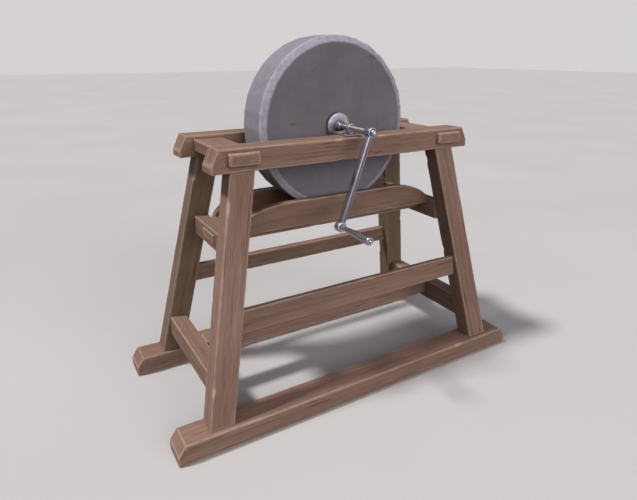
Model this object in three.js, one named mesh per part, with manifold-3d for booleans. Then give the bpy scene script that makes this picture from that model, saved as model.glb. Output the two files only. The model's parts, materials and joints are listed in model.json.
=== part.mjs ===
// Hand-cranked wet grindstone on a splayed timber trestle.
// Millimetres, +Z up. X runs along the trestle, the crank is on the -Y side, and the floor is z = 0.

import * as THREE from "three";
import { mergeVertices } from "three/addons/utils/BufferGeometryUtils.js";
import Module from "manifold-3d";

const wasm = await Module();
wasm.setup();

// ---------------------------------------------------------------- driving dimensions

const gap = 0.3; // between pieces that touch
const round = 64; // flats on a turned piece

const skid = { length: 1240, width: 88, height: 62, centreY: 238, chamferRun: 22, chamferDrop: 32 };
const rail = {
  length: 866,
  width: 72,
  height: 62,
  top: 801,
  centreY: 133,
  chamferRun: 22,
  chamferDrop: 45,
};

const leg = {
  foot: { outerX: 527, outerY: 267, width: 74, thickness: 61 },
  head: { outerX: 382, outerY: 159, width: 71, thickness: 56 },
  tenonWidth: 40,
  tenonThickness: 26,
  footTenon: 36,
  headTenon: 13,
};

const tie = { innerX: 304, outerX: 390, bottom: 757, top: 791, proud: 15 };
const troughCross = { innerX: 355, outerX: 398, bottom: 493, top: 553 };
const lowCross = { innerX: 443, outerX: 495, bottom: 127, top: 198 };
const crossTenon = { depth: 22, shoulder: 11 };

const bearer = { halfWidth: 46, bottom: 512, top: 541, proud: 4 };
const centreStretcher = { halfWidth: 30, bottom: 147, top: 198, shoulder: 12, tenon: 24 };
const frontStretcher = { frontY: -208, thickness: 18, bottom: 302, top: 372 };
const rearStretcher = { frontY: 185, thickness: 28, bottom: 308, top: 363 };
const stretcherTenon = { depth: 24, shoulder: 4 };

const trough = {
  halfLength: 353,
  halfWidth: 100,
  bottom: bearer.top + gap,
  top: 620,
  sideThickness: 22,
  floorThickness: 14,
  cornerRun: 170,
  cornerStand: 2,
  endX: 300,
  endThickness: 18,
  endTop: 585,
};

const stone = { radius: 250, thickness: 130, rimWidth: 10, rimDepth: 17, bore: 12.3 };
const shaft = {
  height: 822,
  radius: 9,
  hubRadius: 12,
  hubHalfLength: 58,
  frontY: -243,
  rearY: 164,
  endRadius: 6,
  endLength: 8,
};
const flange = { radius: 40, thickness: 10 };
const hubNut = { radius: 16, length: 23 };
const bearing = {
  centreY: 136,
  width: 14,
  ringRadius: 13.5,
  clearance: 0.4,
  plateLength: 46,
  plateWidth: 24,
  plateThickness: 4,
  neckWidth: 17,
};
const screw = { offset: 17, radius: 3.6, height: 2.2 };
const collar = { radius: 14, length: 11, clearance: 1 };

const crank = {
  lean: 20, // degrees from hanging straight down, towards -X
  throw: 270,
  frontY: -243,
  eyeThickness: 24,
  eyeRadius: 14,
  barWidth: 14,
  barThickness: 19,
  gripEyeRadius: 15,
  gripEyeThickness: 20,
};
const crankNut = { radius: 9.5, flat: 4, length: 11 };
const pin = { radius: 3.5, headRadius: 7.5, headLength: 4, knobRadius: 5.2, knobLength: 7 };
const grip = { length: 132, thinRadius: 5.6, thickRadius: 12, clearance: 0.5 };

// ---------------------------------------------------------------- finishes

function finish(color, roughness, metalness) {
  return () => new THREE.MeshStandardMaterial({ color, roughness, metalness });
}

const weatheredOak = finish(0x80624f, 0.82, 0);
const damp = finish(0x74594a, 0.7, 0);
const sandstone = finish(0x76717d, 0.93, 0);
const brightSteel = finish(0xb4b4bc, 0.34, 1);
const forgedIron = finish(0x6c6a70, 0.5, 1);

// ---------------------------------------------------------------- solids

function toSolid(geometry) {
  const bare = geometry.clone();
  bare.deleteAttribute("normal");
  bare.deleteAttribute("uv");
  const merged = mergeVertices(bare, 1e-4);
  const mesh = new wasm.Mesh({
    numProp: 3,
    vertProperties: new Float32Array(merged.attributes.position.array),
    triVerts: new Uint32Array(merged.index.array),
  });
  return new wasm.Manifold(mesh);
}

function toGeometry(solid) {
  const mesh = solid.getMesh();
  const geometry = new THREE.BufferGeometry();
  geometry.setAttribute("position", new THREE.BufferAttribute(new Float32Array(mesh.vertProperties), 3));
  geometry.setIndex(new THREE.BufferAttribute(new Uint32Array(mesh.triVerts), 1));
  geometry.computeVertexNormals();
  return geometry;
}

function join(first, ...others) {
  return toGeometry(others.reduce((solid, other) => solid.add(toSolid(other)), toSolid(first)));
}

function cut(first, ...tools) {
  return toGeometry(tools.reduce((solid, tool) => solid.subtract(toSolid(tool)), toSolid(first)));
}

// A box from its lowest to its highest value on each axis.
function block([x0, x1], [y0, y1], [z0, z1]) {
  const geometry = new THREE.BoxGeometry(x1 - x0, y1 - y0, z1 - z0);
  return geometry.translate((x0 + x1) / 2, (y0 + y1) / 2, (z0 + z1) / 2);
}

// The mortise for a tenon that fills the given box.
function mortise([x0, x1], [y0, y1], [z0, z1]) {
  return block([x0 - gap, x1 + gap], [y0 - gap, y1 + gap], [z0 - gap, z1 + gap]);
}

// A shape drawn in X and Z, swept along Y.
function plank(shape, [y0, y1]) {
  const options = { depth: y1 - y0, bevelEnabled: false, curveSegments: 10 };
  return new THREE.ExtrudeGeometry(shape, options).rotateX(Math.PI / 2).translate(0, y1, 0);
}

// A body of revolution about the Y axis, from [radius, y] pairs that close on themselves.
function turned(profile) {
  const points = profile.map(([radius, y]) => new THREE.Vector2(radius, y));
  const ordered = THREE.ShapeUtils.area(points) < 0 ? points.reverse() : points;
  return new THREE.LatheGeometry([...ordered, ordered[0]], round);
}

function tube(innerRadius, outerRadius, y0, y1) {
  return turned([[innerRadius, y0], [outerRadius, y0], [outerRadius, y1], [innerRadius, y1]]);
}

function rod(radius, y0, y1) {
  return new THREE.CylinderGeometry(radius, radius, y1 - y0, round).translate(0, (y0 + y1) / 2, 0);
}

// Mirrors a range across zero for the -1 side, and keeps it in rising order.
function mirrored(side, [low, high]) {
  return side < 0 ? [-high, -low] : [low, high];
}

// ---------------------------------------------------------------- scene

const part = new THREE.Group();

// The trestle's own frame, centred between the skids.
const trestle = new THREE.Group();
part.add(trestle);

// Adds a piece whose geometry is in its parent's coordinates. Its own origin is the middle of its box.
function add(name, geometry, material, parent = trestle) {
  geometry.computeBoundingBox();
  const centre = geometry.boundingBox.getCenter(new THREE.Vector3());
  const mesh = new THREE.Mesh(geometry.translate(-centre.x, -centre.y, -centre.z), material());
  mesh.name = name;
  mesh.position.copy(centre);
  parent.add(mesh);
  return mesh;
}

const sides = [
  { name: "left", sign: -1 },
  { name: "right", sign: 1 },
];
const ends = [
  { name: "front", sign: -1 },
  { name: "rear", sign: 1 },
];

// ---------------------------------------------------------------- legs

const legBase = skid.height + gap;
const legTop = rail.top - rail.height - gap;

// The four faces of a leg at height z, as distances from the middle of the trestle.
function legSection(z) {
  const t = (z - skid.height) / (rail.top - rail.height - skid.height);
  const mix = (key) => leg.foot[key] + (leg.head[key] - leg.foot[key]) * t;
  return {
    outerX: mix("outerX"),
    innerX: mix("outerX") - mix("width"),
    outerY: mix("outerY"),
    innerY: mix("outerY") - mix("thickness"),
  };
}

// A box whose lower and upper faces follow the four faces of a leg at those heights.
function legPost(signX, signY, zLow, zHigh) {
  const geometry = new THREE.BoxGeometry(1, 1, 1);
  const position = geometry.attributes.position;
  for (let i = 0; i < position.count; i += 1) {
    const z = position.getZ(i) < 0 ? zLow : zHigh;
    const section = legSection(z);
    const atOuterX = position.getX(i) * signX > 0;
    const atOuterY = position.getY(i) * signY > 0;
    const x = signX * (atOuterX ? section.outerX : section.innerX);
    const y = signY * (atOuterY ? section.outerY : section.innerY);
    position.setXYZ(i, x, y, z);
  }
  return geometry;
}

// The upright tenon at a leg's foot or head, as the three ranges of its box.
function legTenon(signX, signY, atHead) {
  const section = legSection(atHead ? legTop : legBase);
  const middleX = signX * (section.outerX + section.innerX) / 2;
  const middleY = signY * (section.outerY + section.innerY) / 2;
  const zRange = atHead ? [legTop - 1, legTop + leg.headTenon] : [legBase - leg.footTenon, legBase + 1];
  return [
    [middleX - leg.tenonWidth / 2, middleX + leg.tenonWidth / 2],
    [middleY - leg.tenonThickness / 2, middleY + leg.tenonThickness / 2],
    zRange,
  ];
}

// The tenon that runs along Y from one leg to the other, for a cross-piece.
function crossTenonBox(signX, cross) {
  const middle = legSection((cross.bottom + cross.top) / 2);
  const reach = middle.innerY + crossTenon.depth;
  return [
    mirrored(signX, [cross.innerX + crossTenon.shoulder, cross.outerX - crossTenon.shoulder]),
    [-reach, reach],
    [cross.bottom + crossTenon.shoulder, cross.top - crossTenon.shoulder],
  ];
}

// The tenon that runs along X from the left leg to the right one, for a long stretcher.
function stretcherTenonBox(stretcher) {
  const middle = legSection((stretcher.bottom + stretcher.top) / 2);
  const reach = middle.innerX + stretcherTenon.depth;
  return [
    [-reach, reach],
    [
      stretcher.frontY + stretcherTenon.shoulder,
      stretcher.frontY + stretcher.thickness - stretcherTenon.shoulder,
    ],
    [stretcher.bottom + stretcherTenon.shoulder, stretcher.top - stretcherTenon.shoulder],
  ];
}

for (const end of ends) {
  for (const side of sides) {
    const body = join(
      legPost(side.sign, end.sign, legBase, legTop),
      block(...legTenon(side.sign, end.sign, true)),
      block(...legTenon(side.sign, end.sign, false)),
    );
    const stretcher = end.sign < 0 ? frontStretcher : rearStretcher;
    const geometry = cut(
      body,
      mortise(...crossTenonBox(side.sign, troughCross)),
      mortise(...crossTenonBox(side.sign, lowCross)),
      mortise(...stretcherTenonBox(stretcher)),
    );
    add(`leg_${end.name}_${side.name}`, geometry, weatheredOak);
  }
}

// ---------------------------------------------------------------- skids and rails

// A straight timber with its upper corners cut away at both ends.
function chamferedTimber(timber, signY, bottom, top) {
  const half = timber.length / 2;
  const shape = new THREE.Shape([
    new THREE.Vector2(-half, bottom),
    new THREE.Vector2(half, bottom),
    new THREE.Vector2(half, top - timber.chamferDrop),
    new THREE.Vector2(half - timber.chamferRun, top),
    new THREE.Vector2(timber.chamferRun - half, top),
    new THREE.Vector2(-half, top - timber.chamferDrop),
  ]);
  const centreY = signY * timber.centreY;
  return plank(shape, [centreY - timber.width / 2, centreY + timber.width / 2]);
}

// Each end tie passes right through both rails.
function tieBox(signX) {
  const reach = rail.centreY + rail.width / 2 + tie.proud;
  return [mirrored(signX, [tie.innerX, tie.outerX]), [-reach, reach], [tie.bottom, tie.top]];
}

for (const end of ends) {
  const skidBody = chamferedTimber(skid, end.sign, 0, skid.height);
  const skidMortises = sides.map((side) => mortise(...legTenon(side.sign, end.sign, false)));
  add(`${end.name}_skid`, cut(skidBody, ...skidMortises), weatheredOak);

  const railBody = chamferedTimber(rail, end.sign, rail.top - rail.height, rail.top);
  const railMortises = sides.flatMap((side) => [
    mortise(...legTenon(side.sign, end.sign, true)),
    mortise(...tieBox(side.sign)),
  ]);
  add(`${end.name}_rail`, cut(railBody, ...railMortises), weatheredOak);
}

for (const side of sides) {
  add(`end_tie_${side.name}`, block(...tieBox(side.sign)), weatheredOak);
}

// ---------------------------------------------------------------- cross-pieces and stretchers

// A box in X and Z whose ends follow the leaning inner faces of the front and rear legs.
function crossBody(signX, cross) {
  const geometry = block([-0.5, 0.5], [-0.5, 0.5], [-0.5, 0.5]);
  const position = geometry.attributes.position;
  const [x0, x1] = mirrored(signX, [cross.innerX, cross.outerX]);
  for (let i = 0; i < position.count; i += 1) {
    const z = position.getZ(i) < 0 ? cross.bottom : cross.top;
    const y = Math.sign(position.getY(i)) * (legSection(z).innerY - gap);
    position.setXYZ(i, position.getX(i) < 0 ? x0 : x1, y, z);
  }
  return geometry;
}

// A box in Y and Z whose ends follow the leaning inner faces of the left and right legs.
function stretcherBody(stretcher) {
  const geometry = block([-0.5, 0.5], [-0.5, 0.5], [-0.5, 0.5]);
  const position = geometry.attributes.position;
  const backY = stretcher.frontY + stretcher.thickness;
  for (let i = 0; i < position.count; i += 1) {
    const z = position.getZ(i) < 0 ? stretcher.bottom : stretcher.top;
    const x = Math.sign(position.getX(i)) * (legSection(z).innerX - gap);
    position.setXYZ(i, x, position.getY(i) < 0 ? stretcher.frontY : backY, z);
  }
  return geometry;
}

// The bearer runs right through both trough cross-pieces.
const bearerReach = troughCross.outerX + bearer.proud;
const bearerBox = [
  [-bearerReach, bearerReach],
  [-bearer.halfWidth, bearer.halfWidth],
  [bearer.bottom, bearer.top],
];

// The centre stretcher's tenons are blind.
const centreReach = lowCross.innerX + centreStretcher.tenon;
const centreHalf = centreStretcher.halfWidth - centreStretcher.shoulder;
const centreTenonBox = [
  [-centreReach, centreReach],
  [-centreHalf, centreHalf],
  [centreStretcher.bottom + centreStretcher.shoulder, centreStretcher.top - centreStretcher.shoulder],
];

function crossPiece(signX, cross) {
  return join(crossBody(signX, cross), block(...crossTenonBox(signX, cross)));
}

function longStretcher(stretcher) {
  return join(stretcherBody(stretcher), block(...stretcherTenonBox(stretcher)));
}

for (const side of sides) {
  const upper = cut(crossPiece(side.sign, troughCross), mortise(...bearerBox));
  add(`trough_cross_${side.name}`, upper, weatheredOak);

  const lower = cut(crossPiece(side.sign, lowCross), mortise(...centreTenonBox));
  add(`low_cross_${side.name}`, lower, weatheredOak);
}

add("trough_bearer", block(...bearerBox), weatheredOak);

const centreBody = block(
  [gap - lowCross.innerX, lowCross.innerX - gap],
  [-centreStretcher.halfWidth, centreStretcher.halfWidth],
  [centreStretcher.bottom, centreStretcher.top],
);
add("centre_stretcher", join(centreBody, block(...centreTenonBox)), weatheredOak);
add("front_stretcher", longStretcher(frontStretcher), weatheredOak);
add("rear_stretcher", longStretcher(rearStretcher), weatheredOak);

// ---------------------------------------------------------------- water trough

// A side board with its upper corners rounded off in a quarter ellipse.
function troughSideShape() {
  const { halfLength, bottom, top, cornerRun, cornerStand } = trough;
  const springZ = bottom + cornerStand;
  const cornerX = halfLength - cornerRun;
  const shape = new THREE.Shape();
  shape.moveTo(-halfLength, bottom);
  shape.lineTo(halfLength, bottom);
  shape.lineTo(halfLength, springZ);
  shape.absellipse(cornerX, springZ, cornerRun, top - springZ, 0, Math.PI / 2, false);
  shape.lineTo(-cornerX, top);
  shape.absellipse(-cornerX, springZ, cornerRun, top - springZ, Math.PI / 2, Math.PI, false);
  return shape;
}

const insideY = trough.halfWidth - trough.sideThickness;
for (const end of ends) {
  const board = plank(troughSideShape(), mirrored(end.sign, [insideY, trough.halfWidth]));
  add(`trough_${end.name}_board`, board, damp);
}

const troughFloorTop = trough.bottom + trough.floorThickness;
const insideRange = [gap - insideY, insideY - gap];
add(
  "trough_floor_board",
  block([-trough.halfLength, trough.halfLength], insideRange, [trough.bottom, troughFloorTop]),
  damp,
);
for (const side of sides) {
  const xRange = mirrored(side.sign, [trough.endX, trough.endX + trough.endThickness]);
  const board = block(xRange, insideRange, [troughFloorTop + gap, trough.endTop]);
  add(`trough_end_${side.name}`, board, damp);
}

// ---------------------------------------------------------------- bearings

// An iron eye on a flat foot, standing across the rail, with the shaft running through it.
function bearingEye(centreY) {
  const foot = rail.top + gap;
  const yRange = [centreY - bearing.width / 2, centreY + bearing.width / 2];
  const plate = block(
    [-bearing.plateLength / 2, bearing.plateLength / 2],
    [centreY - bearing.plateWidth / 2, centreY + bearing.plateWidth / 2],
    [foot, foot + bearing.plateThickness],
  );
  const neckHalf = bearing.neckWidth / 2;
  const neck = block([-neckHalf, neckHalf], yRange, [foot + 1, shaft.height]);
  const eye = rod(bearing.ringRadius, ...yRange).translate(0, 0, shaft.height);
  const bore = rod(shaft.radius + bearing.clearance, centreY - rail.width, centreY + rail.width);
  return cut(join(plate, neck, eye), bore.translate(0, 0, shaft.height));
}

// A low round head, closed on the axis, standing on the bearing's foot.
function screwHead(x, y) {
  const base = rail.top + gap + bearing.plateThickness + gap;
  const profile = [
    new THREE.Vector2(0, 0),
    new THREE.Vector2(screw.radius, 0),
    new THREE.Vector2(screw.radius, screw.height * 0.4),
    new THREE.Vector2(screw.radius * 0.6, screw.height * 0.85),
    new THREE.Vector2(0, screw.height),
  ];
  return new THREE.LatheGeometry(profile, 16).rotateX(Math.PI / 2).translate(x, y, base);
}

for (const end of ends) {
  const centreY = end.sign * bearing.centreY;
  add(`bearing_${end.name}`, bearingEye(centreY), forgedIron);
  for (const side of sides) {
    const head = screwHead(side.sign * screw.offset, centreY);
    add(`bearing_screw_${end.name}_${side.name}`, head, forgedIron);
  }
}

// ---------------------------------------------------------------- stone and shaft

const rotor = new THREE.Group();
rotor.position.set(0, 0, shaft.height);
trestle.add(rotor);

const face = stone.thickness / 2;
add(
  "grindstone",
  turned([
    [stone.bore, -face],
    [stone.radius - stone.rimDepth, -face],
    [stone.radius, stone.rimWidth - face],
    [stone.radius, face - stone.rimWidth],
    [stone.radius - stone.rimDepth, face],
    [stone.bore, face],
  ]),
  sandstone,
  rotor,
);

add(
  "shaft",
  turned([
    [0, shaft.frontY - shaft.endLength],
    [shaft.endRadius, shaft.frontY - shaft.endLength],
    [shaft.endRadius, shaft.frontY],
    [shaft.radius, shaft.frontY],
    [shaft.radius, -shaft.hubHalfLength],
    [shaft.hubRadius, -shaft.hubHalfLength],
    [shaft.hubRadius, shaft.hubHalfLength],
    [shaft.radius, shaft.hubHalfLength],
    [shaft.radius, shaft.rearY],
    [0, shaft.rearY],
  ]),
  brightSteel,
  rotor,
);

const shaftBore = shaft.radius + gap;
const flangeY = face + gap;
const nutY = flangeY + flange.thickness + gap;
for (const end of ends) {
  const rim = flange.radius - 3;
  add(
    `flange_${end.name}`,
    turned([
      [shaftBore, end.sign * flangeY],
      [flange.radius, end.sign * flangeY],
      [flange.radius, end.sign * (flangeY + flange.thickness - 3)],
      [rim, end.sign * (flangeY + flange.thickness)],
      [shaftBore, end.sign * (flangeY + flange.thickness)],
    ]),
    brightSteel,
    rotor,
  );

  // The nut is a dome: a quarter circle from its base radius to the shaft.
  const dome = [];
  for (let step = 0; step <= 8; step += 1) {
    const angle = (step / 8) * Math.acos(shaftBore / hubNut.radius);
    const y = nutY + hubNut.length - hubNut.radius + hubNut.radius * Math.sin(angle);
    dome.push([hubNut.radius * Math.cos(angle), end.sign * y]);
  }
  const base = [[shaftBore, end.sign * nutY], [hubNut.radius, end.sign * nutY]];
  add(`hub_nut_${end.name}`, turned([...base, ...dome]), brightSteel, rotor);
}

// One collar on each side of the rear bearing keeps the shaft from sliding.
const collarStart = bearing.width / 2 + collar.clearance;
const collars = [
  { name: "inner", y: bearing.centreY - collarStart - collar.length },
  { name: "outer", y: bearing.centreY + collarStart },
];
for (const { name, y } of collars) {
  add(`shaft_collar_${name}`, tube(shaftBore, collar.radius, y, y + collar.length), brightSteel, rotor);
}

// ---------------------------------------------------------------- crank

const crankGroup = new THREE.Group();
crankGroup.rotation.y = THREE.MathUtils.degToRad(crank.lean);
rotor.add(crankGroup);

// The arm hangs along -Z from the shaft, with an eye at each end.
function crankArm() {
  const back = crank.frontY + crank.eyeThickness;
  const barFront = crank.frontY + (crank.eyeThickness - crank.barThickness) / 2;
  const gripEyeFront = crank.frontY + (crank.eyeThickness - crank.gripEyeThickness) / 2;
  const shaftEye = rod(crank.eyeRadius, crank.frontY, back);
  const gripEye = rod(crank.gripEyeRadius, gripEyeFront, gripEyeFront + crank.gripEyeThickness);
  const bar = block(
    [-crank.barWidth / 2, crank.barWidth / 2],
    [barFront, barFront + crank.barThickness],
    [-crank.throw, 0],
  );
  const arm = join(shaftEye, gripEye.translate(0, 0, -crank.throw), bar);
  const shaftHole = rod(shaftBore, crank.frontY - 10, back + 10);
  const pinHole = rod(pin.radius + gap, crank.frontY - 10, back + 10).translate(0, 0, -crank.throw);
  return cut(arm, shaftHole, pinHole);
}
add("crank_arm", crankArm(), brightSteel, crankGroup);

// A cap nut: a short drum closed by a dome, with a blind bore over the shaft's end.
const capStart = crank.frontY - gap;
const capDome = [];
for (let step = 0; step <= 6; step += 1) {
  const angle = (step / 6) * (Math.PI / 2);
  const rise = (crankNut.length - crankNut.flat) * Math.sin(angle);
  capDome.push([crankNut.radius * Math.cos(angle), capStart - crankNut.flat - rise]);
}
capDome[capDome.length - 1][0] = 0;
const capFloor = shaft.frontY - shaft.endLength - gap;
add(
  "crank_nut",
  turned([
    [shaft.endRadius + gap, capStart],
    [crankNut.radius, capStart],
    ...capDome,
    [0, capFloor],
    [shaft.endRadius + gap, capFloor],
  ]),
  brightSteel,
  crankGroup,
);

// The handle turns on its pin, between the arm and the pin's knob.
const gripEyeFace = crank.frontY + (crank.eyeThickness - crank.gripEyeThickness) / 2;
const gripEyeBack = gripEyeFace + crank.gripEyeThickness;
const gripStart = gripEyeFace - grip.clearance;
const gripEnd = gripStart - grip.length;
const knobStart = gripEnd - grip.clearance;
const handle = new THREE.Group();
handle.position.z = -crank.throw;
crankGroup.add(handle);

add(
  "handle_pin",
  turned([
    [0, gripEyeBack + gap + pin.headLength],
    [pin.headRadius, gripEyeBack + gap + pin.headLength],
    [pin.headRadius, gripEyeBack + gap],
    [pin.radius, gripEyeBack + gap],
    [pin.radius, knobStart],
    [pin.knobRadius, knobStart],
    [pin.knobRadius, knobStart - pin.knobLength * 0.6],
    [pin.knobRadius * 0.6, knobStart - pin.knobLength],
    [0, knobStart - pin.knobLength],
  ]),
  brightSteel,
  handle,
);

add(
  "handle_grip",
  turned([
    [pin.radius + grip.clearance, gripStart],
    [grip.thinRadius, gripStart],
    [grip.thickRadius, gripEnd + 7],
    [grip.thickRadius, gripEnd + 2],
    [grip.thickRadius - 2, gripEnd],
    [pin.radius + grip.clearance, gripEnd],
  ]),
  brightSteel,
  handle,
);

// The origin is on the floor under the middle of the whole part, which reaches out furthest at the
// handle's end on one side and at the rear skid on the other.
const frontReach = pin.knobLength - knobStart;
const rearReach = skid.centreY + skid.width / 2;
trestle.position.y = (frontReach - rearReach) / 2;

export default part;
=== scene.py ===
"""A hand-cranked wet grindstone on a splayed timber trestle. Metres, +Z up, the crank on the -Y side."""

import itertools
import json
import math
import zlib

import bmesh
import bpy
import numpy as np
from mathutils import Matrix, Vector, noise


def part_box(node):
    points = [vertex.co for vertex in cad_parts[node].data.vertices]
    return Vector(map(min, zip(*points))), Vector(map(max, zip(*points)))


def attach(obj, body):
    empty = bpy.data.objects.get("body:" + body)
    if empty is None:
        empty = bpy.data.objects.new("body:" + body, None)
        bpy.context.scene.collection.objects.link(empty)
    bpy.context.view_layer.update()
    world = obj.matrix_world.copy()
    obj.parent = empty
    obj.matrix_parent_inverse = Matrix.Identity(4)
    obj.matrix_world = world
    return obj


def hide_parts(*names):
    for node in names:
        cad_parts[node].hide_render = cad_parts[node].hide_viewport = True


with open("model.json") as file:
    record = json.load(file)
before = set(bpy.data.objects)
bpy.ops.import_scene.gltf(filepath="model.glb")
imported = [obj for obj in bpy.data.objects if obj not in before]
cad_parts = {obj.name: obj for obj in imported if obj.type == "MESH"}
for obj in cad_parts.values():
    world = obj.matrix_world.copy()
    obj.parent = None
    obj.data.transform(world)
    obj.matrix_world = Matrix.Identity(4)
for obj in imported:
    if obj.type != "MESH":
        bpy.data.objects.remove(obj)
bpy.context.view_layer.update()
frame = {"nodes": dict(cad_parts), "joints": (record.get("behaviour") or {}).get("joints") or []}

MM = 0.001

# ---------------- camera

CAMERA_PLACE = Vector((-0.8342, -1.3084, 1.0211))
CAMERA_YAW = 0.5365  # from +Y towards +X, in radians
CAMERA_PITCH = -0.3704
SENSOR_WIDTH = 36.0
LENS = 28.58


def make_camera():
    data = bpy.data.cameras.new("camera")
    data.sensor_fit = "HORIZONTAL"
    data.sensor_width = SENSOR_WIDTH
    data.lens = LENS
    data.clip_end = 200
    camera = bpy.data.objects.new("camera", data)
    camera.location = CAMERA_PLACE
    camera.rotation_euler = (math.pi / 2 + CAMERA_PITCH, 0, -CAMERA_YAW)
    bpy.context.scene.collection.objects.link(camera)
    bpy.context.scene.camera = camera


make_camera()

# ---------------- node helper

# The colour sockets of a Mix node.
MIX_AMOUNT, MIX_FIRST, MIX_SECOND, MIX_RESULT = 0, 6, 7, 2


class Shader:
    """A material whose nodes are added one by one.

    An input takes a number, a colour or another node's output.
    """

    def __init__(self, name):
        self.material = bpy.data.materials.new(name)
        self.material.use_nodes = True
        self.tree = self.material.node_tree
        self.principled = self.tree.nodes["Principled BSDF"]

    def node(self, kind, inputs=None, **settings):
        made = self.tree.nodes.new(kind)
        for key, value in settings.items():
            setattr(made, key, value)
        for key, value in (inputs or {}).items():
            self.feed(made.inputs[key], value)
        return made

    def feed(self, socket, value):
        if isinstance(value, bpy.types.NodeSocket):
            self.tree.links.new(value, socket)
        elif socket.type == "RGBA":
            socket.default_value = (*value, 1)
        else:
            socket.default_value = value

    def attribute(self, name, output):
        return self.node("ShaderNodeAttribute", attribute_name=name).outputs[output]

    def scaled(self, vector, scale, move=(0, 0, 0)):
        inputs = {"Vector": vector, "Scale": scale, "Location": move}
        return self.node("ShaderNodeMapping", inputs).outputs["Vector"]

    def noise(self, vector, scale, detail=3.0, rough=0.5, distortion=0.0):
        inputs = {
            "Vector": vector,
            "Scale": scale,
            "Detail": detail,
            "Roughness": rough,
            "Distortion": distortion,
        }
        return self.node("ShaderNodeTexNoise", inputs).outputs["Fac"]

    def math(self, operation, a, b=0.5, clamp=False):
        made = self.node("ShaderNodeMath", {0: a, 1: b}, operation=operation)
        made.use_clamp = clamp
        return made.outputs[0]

    def span(self, value, low, high, to_low=0.0, to_high=1.0):
        """Maps low..high to to_low..to_high, and stops at those ends."""
        inputs = {
            "Value": value,
            "From Min": low,
            "From Max": high,
            "To Min": to_low,
            "To Max": to_high,
        }
        return self.node("ShaderNodeMapRange", inputs).outputs["Result"]

    def mix(self, amount, a, b):
        inputs = {MIX_AMOUNT: amount, MIX_FIRST: a, MIX_SECOND: b}
        return self.node("ShaderNodeMix", inputs, data_type="RGBA").outputs[MIX_RESULT]

    def bump(self, height, strength, distance):
        inputs = {"Height": height, "Strength": strength, "Distance": distance}
        return self.node("ShaderNodeBump", inputs).outputs["Normal"]

    def finish(self, **sockets):
        for key, value in sockets.items():
            self.feed(self.principled.inputs[key.replace("_", " ").title()], value)
        return self.material


# ---------------- materials

CRACK_COLOR = (0.035, 0.018, 0.012)


def wood(name, pale, mid, olive, deep, worn, damp):
    """Sawn timber, with its grain along the piece.

    Wear is 1 on its arrises and up to 2 where one is chipped. Tone is how olive the timber is, partly from
    weathering and, on the rear timbers, partly painted shade.
    """
    s = Shader(name)
    grain = s.attribute("grain", "Vector")
    wear = s.attribute("wear", "Fac")
    bare = s.math("SUBTRACT", wear, 1.0, True)
    tone = s.attribute("tone", "Fac")

    blotch = s.noise(s.scaled(grain, (2.2, 9, 9)), 1.0, 3, 0.55, 0.4)
    streak = s.noise(s.scaled(grain, (3.5, 75, 75)), 1.0, 4, 0.6, 0.6)
    fibre = s.noise(s.scaled(grain, (18, 620, 620)), 1.0, 3, 0.6)
    rings = s.node(
        "ShaderNodeTexWave",
        {
            "Vector": s.scaled(grain, (0.35, 1, 1)),
            "Scale": 34.0,
            "Distortion": 5.5,
            "Detail": 3.0,
            "Detail Scale": 1.4,
            "Detail Roughness": 0.55,
        },
        wave_type="RINGS",
        rings_direction="X",
        wave_profile="SAW",
    ).outputs["Fac"]
    crack = s.noise(s.scaled(grain, (7, 190, 190)), 1.0, 2, 0.45, 0.3)
    crack = s.span(crack, 0.675, 0.73)
    check = s.noise(s.scaled(grain, (3.2, 330, 330), (2, 8, 5)), 1.0, 1, 0.4, 0.2)
    crack = s.math("MAXIMUM", crack, s.span(check, 0.69, 0.73, 0, 0.7))

    base = s.mix(s.span(blotch, 0.32, 0.68), mid, pale)
    # Olive mix: random weathering plus the piece's tone, which on the rear timbers is partly painted shade.
    olive_weather_and_shade = s.noise(s.scaled(grain, (1.3, 5, 5), (7, 2, 4)), 1.0, 2, 0.5)
    olive_weather_and_shade = s.math("ADD", tone, s.span(olive_weather_and_shade, 0.42, 0.7, 0, 0.35), True)
    olive_weather_and_shade = s.math("MULTIPLY", olive_weather_and_shade, 0.85)
    base = s.mix(olive_weather_and_shade, base, olive)
    base = s.mix(s.span(streak, 0.44, 0.78, 0, 0.45), base, deep)
    base = s.mix(s.span(rings, 0.6, 1.0, 0, 0.26), base, deep)
    base = s.mix(s.span(fibre, 0.38, 0.7, 0, 0.2), base, deep)
    if damp:
        stain = s.noise(s.scaled(grain, (4, 14, 14), (3, 1, 2)), 1.0, 4, 0.6)
        base = s.mix(s.span(stain, 0.42, 0.7, 0, 0.5), base, deep)
    base = s.mix(s.math("MULTIPLY", crack, 0.85), base, CRACK_COLOR)

    scuff = s.noise(s.scaled(grain, (40, 90, 90), (1, 5, 2)), 1.0, 3, 0.6)
    edge = s.math("MULTIPLY", wear, s.span(scuff, 0.3, 0.55, 0.35, 1), True)
    base = s.mix(s.math("MULTIPLY", edge, 0.42), base, worn)
    base = s.mix(s.math("MULTIPLY", bare, 0.4), base, worn)

    rough = s.span(streak, 0.3, 0.8, 0.62, 0.86)
    rough = s.math("SUBTRACT", rough, s.math("MULTIPLY", edge, 0.12))
    relief = s.math("ADD", s.math("MULTIPLY", fibre, 0.5), s.math("MULTIPLY", streak, 0.9))
    relief = s.math("SUBTRACT", relief, s.math("MULTIPLY", crack, 1.6))
    relief = s.math("SUBTRACT", relief, s.math("MULTIPLY", rings, 0.25))
    normal = s.bump(relief, 0.55, 0.9 * MM)
    s.principled.inputs["Specular IOR Level"].default_value = 0.35
    return s.finish(base_color=base, roughness=rough, normal=normal)


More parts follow.
